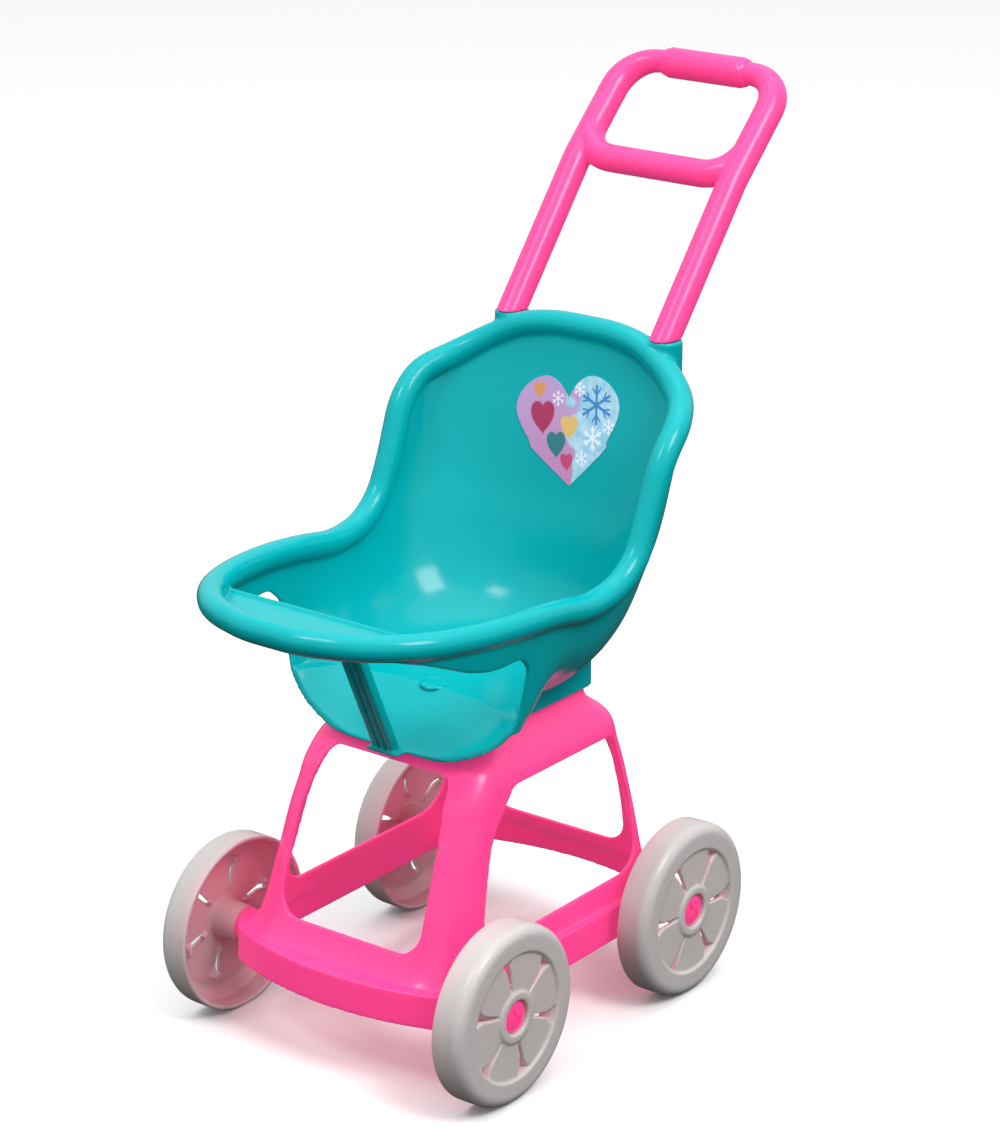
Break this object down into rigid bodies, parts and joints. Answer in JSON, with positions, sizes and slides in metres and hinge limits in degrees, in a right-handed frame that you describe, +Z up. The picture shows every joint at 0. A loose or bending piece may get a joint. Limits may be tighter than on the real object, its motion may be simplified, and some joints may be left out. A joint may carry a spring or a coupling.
{
  "type": "doll stroller",
  "caption": "Toy doll stroller: pink moulded base on white wheels, turquoise bucket seat with a front tray, heart sticker and pink push handle.",
  "frame": {"origin": "on the floor, under the middle of the whole stroller", "axes": "+Z up, -Y the front of the stroller (the tray side), +X the left of a person pushing it"},
  "size_m": [0.23, 0.4396, 0.5482],
  "materials": {
    "base_pink": "moulded plastic, satin gloss",
    "seat_turquoise": "moulded plastic, glossy",
    "handle_pink": "moulded plastic, satin gloss",
    "wheel_white": "moulded plastic, satin",
    "pin_pink": "moulded plastic, satin",
    "sticker_film": null,
    "screw_steel": "zinc plated"
  },
  "bodies": {
    "chassis": {"base_frame": "base_pink", "seat": "seat_turquoise", "sticker": "sticker_film", "handle": "handle_pink", "seat_screws": "screw_steel", "axle_pin_front_left": "pin_pink", "axle_pin_rear_left": "pin_pink", "axle_pin_front_right": "pin_pink", "axle_pin_rear_right": "pin_pink"},
    "wheel_front_left_body": {"wheel_front_left": "wheel_white"},
    "wheel_rear_left_body": {"wheel_rear_left": "wheel_white"},
    "wheel_front_right_body": {"wheel_front_right": "wheel_white"},
    "wheel_rear_right_body": {"wheel_rear_right": "wheel_white"}
  },
  "joints": [
    {"name": "front_left_spin", "type": "hinge", "parent": "chassis", "child": "wheel_front_left_body", "pos_m": [0.1047, -0.1355, 0.055], "axis": [1, 0, 0], "continuous": true},
    {"name": "rear_left_spin", "type": "hinge", "parent": "chassis", "child": "wheel_rear_left_body", "pos_m": [0.1047, 0.0455, 0.055], "axis": [1, 0, 0], "continuous": true},
    {"name": "front_right_spin", "type": "hinge", "parent": "chassis", "child": "wheel_front_right_body", "pos_m": [-0.1047, -0.1355, 0.055], "axis": [1, 0, 0], "continuous": true},
    {"name": "rear_right_spin", "type": "hinge", "parent": "chassis", "child": "wheel_rear_right_body", "pos_m": [-0.1047, 0.0455, 0.055], "axis": [1, 0, 0], "continuous": true}
  ]
}
